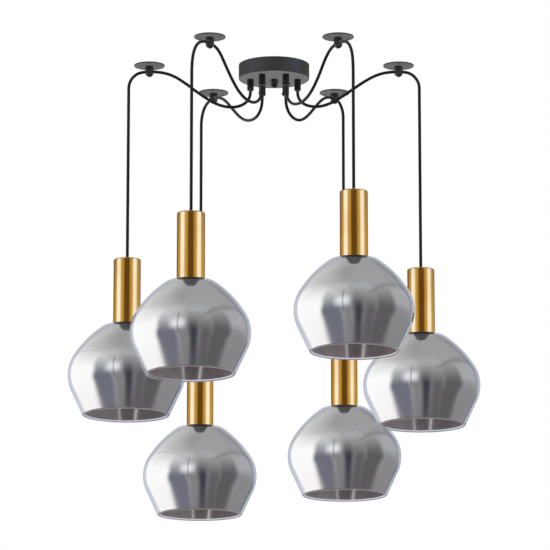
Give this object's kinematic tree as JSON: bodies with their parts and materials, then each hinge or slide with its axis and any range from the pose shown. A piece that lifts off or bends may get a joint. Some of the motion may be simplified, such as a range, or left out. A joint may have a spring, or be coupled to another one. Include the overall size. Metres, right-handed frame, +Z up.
{
  "type": "cluster pendant",
  "caption": "Cluster pendant: glass bowl shades under brass tubes, each on a cord that leaves a round ceiling box, rises to its own ceiling hook and hangs from it.",
  "frame": {"origin": "centre of the ceiling bracket's upper face, on the ceiling plane", "axes": "+Z up, square to the ceiling; +X towards hook 1; the others follow every 60 degrees, anticlockwise seen from above"},
  "size_m": [0.69, 0.6507, 0.7404],
  "materials": {
    "black_steel": "fine textured matt black powder coat",
    "black_gloss": "gloss black",
    "zinc_steel": "zinc plated",
    "black_plastic": "satin moulded",
    "white_plastic": "moulded",
    "black_cord": "smooth PVC sheath",
    "satin_brass": "satin, brushed round the tube",
    "contact_brass": "bright",
    "smoke_glass": "clear outside, smoke-grey mirror coat inside"
  },
  "bodies": {
    "ceiling_set": {"canopy_shell": "black_steel", "ceiling_bracket": "zinc_steel", "canopy_stud": "zinc_steel", "stud_nut": "zinc_steel", "gland_nuts": "zinc_steel", "dome_nut": "black_gloss", "terminal_block": "white_plastic", "cord_glands": "black_plastic", "gland_screws": "black_plastic", "cord_tails": "black_cord", "hook_screws": "black_gloss", "hook_plate_1": "black_steel", "hook_plate_2": "black_steel", "hook_plate_3": "black_steel", "hook_plate_4": "black_steel", "hook_plate_5": "black_steel", "hook_plate_6": "black_steel", "cord_1_swag": "black_cord", "cord_2_swag": "black_cord", "cord_3_swag": "black_cord", "cord_4_swag": "black_cord", "cord_5_swag": "black_cord", "cord_6_swag": "black_cord"},
    "pendant_1": {"cord_1_drop": "black_cord", "brass_tube_1": "satin_brass", "lamp_holder_1": "black_plastic", "holder_contacts_1": "contact_brass", "shade_ring_1": "black_plastic", "glass_shade_1": "smoke_glass"},
    "pendant_2": {"cord_2_drop": "black_cord", "brass_tube_2": "satin_brass", "lamp_holder_2": "black_plastic", "holder_contacts_2": "contact_brass", "shade_ring_2": "black_plastic", "glass_shade_2": "smoke_glass"},
    "pendant_3": {"cord_3_drop": "black_cord", "brass_tube_3": "satin_brass", "lamp_holder_3": "black_plastic", "holder_contacts_3": "contact_brass", "shade_ring_3": "black_plastic", "glass_shade_3": "smoke_glass"},
    "pendant_4": {"cord_4_drop": "black_cord", "brass_tube_4": "satin_brass", "lamp_holder_4": "black_plastic", "holder_contacts_4": "contact_brass", "shade_ring_4": "black_plastic", "glass_shade_4": "smoke_glass"},
    "pendant_5": {"cord_5_drop": "black_cord", "brass_tube_5": "satin_brass", "lamp_holder_5": "black_plastic", "holder_contacts_5": "contact_brass", "shade_ring_5": "black_plastic", "glass_shade_5": "smoke_glass"},
    "pendant_6": {"cord_6_drop": "black_cord", "brass_tube_6": "satin_brass", "lamp_holder_6": "black_plastic", "holder_contacts_6": "contact_brass", "shade_ring_6": "black_plastic", "glass_shade_6": "smoke_glass"}
  },
  "joints": [
    {"name": "swing_1", "type": "hinge", "parent": "ceiling_set", "child": "pendant_1", "pos_m": [0.247, 0, -0.0509], "axis": [0, -1, 0], "range_deg": [-4, 15]},
    {"name": "swing_2", "type": "hinge", "parent": "ceiling_set", "child": "pendant_2", "pos_m": [0.1215, 0.21044, -0.0489], "axis": [0.866, -0.5, 0], "range_deg": [-4, 15]},
    {"name": "swing_3", "type": "hinge", "parent": "ceiling_set", "child": "pendant_3", "pos_m": [-0.128, 0.2217, -0.0629], "axis": [0.866, 0.5, 0], "range_deg": [-4, 15]},
    {"name": "swing_4", "type": "hinge", "parent": "ceiling_set", "child": "pendant_4", "pos_m": [-0.247, 0, -0.0509], "axis": [0, 1, 0], "range_deg": [-4, 15]},
    {"name": "swing_5", "type": "hinge", "parent": "ceiling_set", "child": "pendant_5", "pos_m": [-0.1345, -0.23296, -0.0889], "axis": [-0.866, 0.5, 0], "range_deg": [-4, 15]},
    {"name": "swing_6", "type": "hinge", "parent": "ceiling_set", "child": "pendant_6", "pos_m": [0.12975, -0.22473, -0.0859], "axis": [-0.866, -0.5, 0], "range_deg": [-4, 15]}
  ]
}
